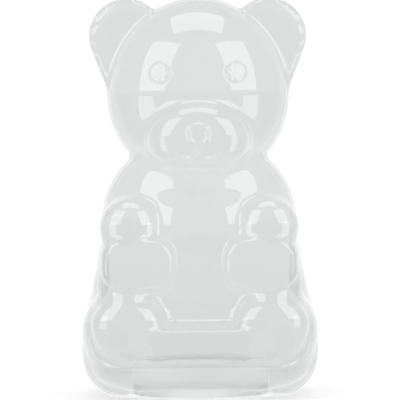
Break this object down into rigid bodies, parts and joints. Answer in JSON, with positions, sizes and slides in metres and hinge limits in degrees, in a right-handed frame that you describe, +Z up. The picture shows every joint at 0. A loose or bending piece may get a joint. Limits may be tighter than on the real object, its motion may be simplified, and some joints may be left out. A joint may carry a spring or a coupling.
{
  "type": "bear-shaped candy jar",
  "caption": "Clear hollow sitting-bear candy jar in bonded front and back shells, with a neck ring, seal and recessed screw lid in its underside.",
  "frame": {"origin": "on the lid's axis, at the height of the flats that the jar stands on, which is the centre of the footprint", "axes": "+Z up, the bear's face looks along -Y, +X is to the right of a viewer who faces the bear"},
  "size_m": [0.105, 0.0829, 0.1758],
  "materials": {
    "clear_plastic": "polished, clear with a faint grey cast",
    "milky_plastic": "milky translucent white, moulded satin gloss",
    "seal_silicone": "satin, translucent white"
  },
  "bodies": {
    "jar": {"front_shell": "clear_plastic", "back_shell": "clear_plastic", "neck_ring": "milky_plastic"},
    "seal": {"lid_seal": "seal_silicone"},
    "lid": {"screw_lid": "milky_plastic"}
  },
  "joints": [
    {"name": "lid_travel", "type": "slide", "parent": "jar", "child": "seal", "axis": [0, 0, -1], "range_m": [0, 0.018]},
    {"name": "lid_turn", "type": "hinge", "parent": "seal", "child": "lid", "pos_m": [0, 0, 0.0065], "axis": [0, 0, -1], "range_deg": [0, 720]}
  ],
  "couplings": [
    {"joint": "lid_travel", "follows": "lid_turn", "m_per_rad": 0.0014324}
  ]
}
